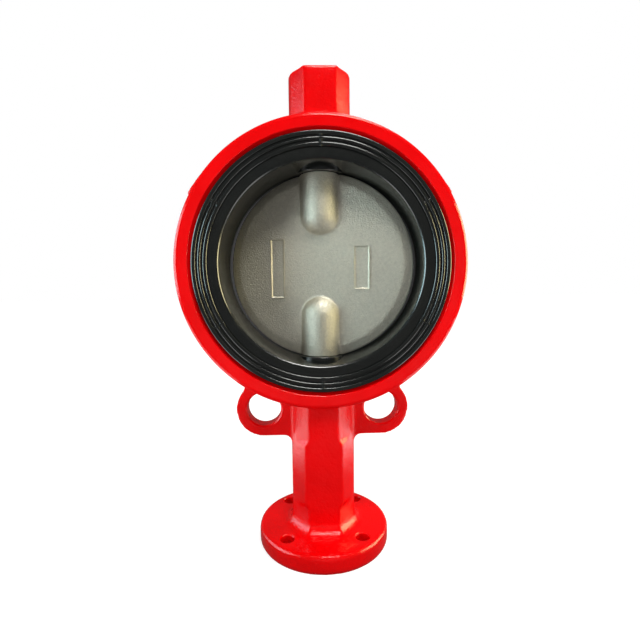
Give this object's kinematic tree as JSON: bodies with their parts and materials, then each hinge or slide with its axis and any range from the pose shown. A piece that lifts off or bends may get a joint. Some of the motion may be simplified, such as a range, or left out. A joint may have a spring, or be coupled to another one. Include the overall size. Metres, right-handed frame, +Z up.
{
  "type": "butterfly valve",
  "caption": "Wafer butterfly valve with red cast body, ribbed rubber seat, steel disc on split stems, two locating lugs and a round actuator flange.",
  "frame": {"origin": "centre of the actuator flange's face, which is the underside as the valve stands", "axes": "+Z up along the stem from the actuator flange to the stub, Y along the pipe bore with the front of the valve at -Y, +X to the right seen from the front"},
  "size_m": [0.184, 0.09, 0.312],
  "materials": {
    "red_paint": "glossy red epoxy coating over cast iron",
    "seat_rubber": "smooth moulded black rubber with a soft sheen",
    "seal_rubber": "matt black rubber",
    "phenolic": "brown phenolic resin",
    "cast_steel": "fine shot-blasted cast stainless steel",
    "turned_steel": "turned stainless steel",
    "spring_steel": "phosphated spring steel",
    "nylon": "off-white nylon",
    "zinc_steel": "zinc-plated steel"
  },
  "bodies": {
    "valve_body": {"body": "red_paint", "seat": "seat_rubber", "seat_backing_ring": "phenolic", "dust_seal": "seal_rubber", "circlip": "spring_steel", "half_ring_left": "zinc_steel", "half_ring_right": "zinc_steel", "thrust_washer": "turned_steel", "outer_bush": "nylon", "stem_o_ring_outer": "seal_rubber", "o_ring_spacer": "nylon", "stem_o_ring_inner": "seal_rubber", "inner_bush": "nylon", "pivot_bush": "nylon", "pivot_o_ring": "seal_rubber", "pivot_thrust_washer": "turned_steel", "plug_seal": "seal_rubber", "stub_plug": "zinc_steel"},
    "turning_set": {"disc": "cast_steel", "drive_stem": "turned_steel", "pivot_stem": "turned_steel"}
  },
  "joints": [
    {"name": "disc_turn", "type": "hinge", "parent": "valve_body", "child": "turning_set", "pos_m": [0, 0, 0.19], "axis": [0, 0, -1], "range_deg": [-10, 80]}
  ]
}
